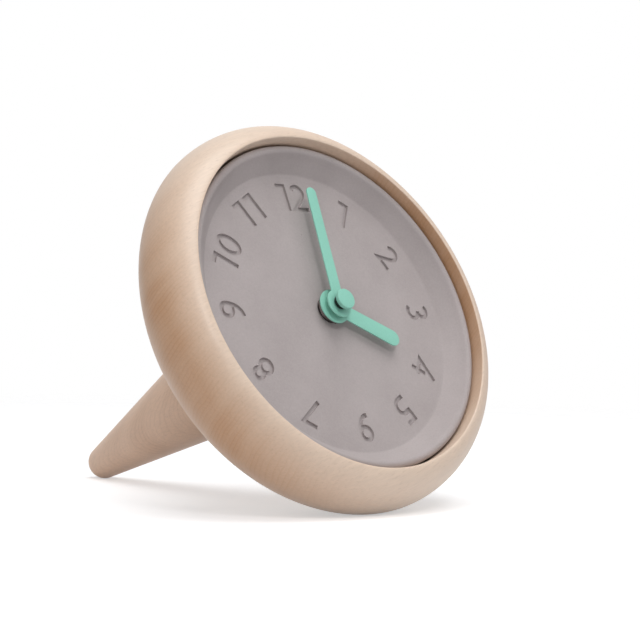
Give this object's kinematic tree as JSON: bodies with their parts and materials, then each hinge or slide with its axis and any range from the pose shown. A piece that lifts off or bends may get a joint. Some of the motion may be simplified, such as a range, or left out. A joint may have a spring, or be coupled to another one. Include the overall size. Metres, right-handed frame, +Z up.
{
  "type": "table clock",
  "caption": "Table clock like a spinning top: a turned wooden bowl holds a dished concrete dial with two hands, and a conical leg on the same axis props it up at a slant.",
  "frame": {"origin": "on the table, below the middle of the clock as it leans on its leg", "axes": "+Z up, the dial looks toward -Y and up, 3 o clock is toward +X"},
  "size_m": [0.1598, 0.1884, 0.1474],
  "materials": {
    "beech": "turned and sanded beech with a matt oil finish",
    "concrete": "fine cast concrete, smooth and matt",
    "mint_paint": "matt mint powder coat on steel sheet",
    "steel": "plain zinc-plated steel",
    "dark_steel": "blackened steel, glossy",
    "brass": "machined brass",
    "magnet": "nickel-plated magnet",
    "black_plastic": "moulded black plastic",
    "white_plastic": "moulded natural acetal",
    "rubber": "black rubber sheet",
    "copper": "enamelled copper wire",
    "board": "green laminate",
    "battery": "plain coloured battery sleeve"
  },
  "bodies": {
    "stand": {"bowl": "beech", "leg": "beech", "leg_insert": "brass", "leg_washer": "steel", "leg_bolt": "steel", "magnet_1": "magnet", "magnet_2": "magnet", "magnet_3": "magnet"},
    "dial_unit": {"dial": "concrete", "steel_disc_1": "steel", "steel_disc_2": "steel", "steel_disc_3": "steel", "rubber_gasket": "rubber", "dial_washer": "dark_steel", "hex_nut": "dark_steel", "movement_front_case": "black_plastic", "movement_back_case": "black_plastic", "battery": "battery", "positive_contact": "steel", "negative_contact": "steel", "circuit_board": "board", "quartz_crystal": "steel", "stator": "steel", "coil_core": "steel", "coil_bobbin": "white_plastic", "coil_winding": "copper", "train_bridge": "white_plastic"},
    "minute_work": {"minute_arbor": "steel", "minute_hand": "mint_paint", "minute_collar": "black_plastic", "centre_cap": "mint_paint"},
    "hour_work": {"hour_wheel": "white_plastic", "hour_hand": "mint_paint"},
    "minute_wheel": {"minute_wheel": "white_plastic"},
    "set_knob": {"set_knob": "white_plastic"},
    "centre_wheel": {"centre_wheel": "white_plastic"},
    "slow_wheel": {"slow_wheel": "white_plastic"},
    "fast_wheel": {"fast_wheel": "white_plastic"},
    "rotor": {"rotor": "magnet"}
  },
  "joints": [
    {"name": "dial_lift", "type": "slide", "parent": "stand", "child": "dial_unit", "axis": [0, -0.8976, 0.4407], "range_m": [0, 0.04]},
    {"name": "minute_hand_turn", "type": "hinge", "parent": "dial_unit", "child": "minute_work", "pos_m": [0, -0.04746, 0.07318], "axis": [0, 0.8976, -0.4407], "continuous": true},
    {"name": "hour_hand_turn", "type": "hinge", "parent": "dial_unit", "child": "hour_work", "pos_m": [0, -0.04746, 0.07318], "axis": [0, 0.8976, -0.4407], "continuous": true},
    {"name": "minute_wheel_turn", "type": "hinge", "parent": "dial_unit", "child": "minute_wheel", "pos_m": [0.00902, -0.04601, 0.07613], "axis": [0, 0.8976, -0.4407], "continuous": true},
    {"name": "set_knob_turn", "type": "hinge", "parent": "dial_unit", "child": "set_knob", "pos_m": [0.01847, -0.04674, 0.07464], "axis": [0, 0.8976, -0.4407], "continuous": true},
    {"name": "rotor_turn", "type": "hinge", "parent": "dial_unit", "child": "rotor", "pos_m": [-0.003, -0.04146, 0.08539], "axis": [0, 0.8976, -0.4407], "continuous": true},
    {"name": "fast_wheel_turn", "type": "hinge", "parent": "dial_unit", "child": "fast_wheel", "pos_m": [-0.00178, -0.04409, 0.08004], "axis": [0, 0.8976, -0.4407], "continuous": true},
    {"name": "slow_wheel_turn", "type": "hinge", "parent": "dial_unit", "child": "slow_wheel", "pos_m": [-0.00644, -0.04582, 0.07652], "axis": [0, 0.8976, -0.4407], "continuous": true},
    {"name": "centre_wheel_turn", "type": "hinge", "parent": "dial_unit", "child": "centre_wheel", "pos_m": [0, -0.04746, 0.07318], "axis": [0, 0.8976, -0.4407], "continuous": true}
  ],
  "couplings": [
    {"joint": "hour_hand_turn", "follows": "minute_hand_turn", "ratio": 0.083333},
    {"joint": "minute_wheel_turn", "follows": "minute_hand_turn", "ratio": -0.33333},
    {"joint": "set_knob_turn", "follows": "minute_hand_turn", "ratio": 1},
    {"joint": "fast_wheel_turn", "follows": "rotor_turn", "ratio": -0.16667},
    {"joint": "slow_wheel_turn", "follows": "rotor_turn", "ratio": 0.027778},
    {"joint": "centre_wheel_turn", "follows": "rotor_turn", "ratio": -0.0055556}
  ]
}
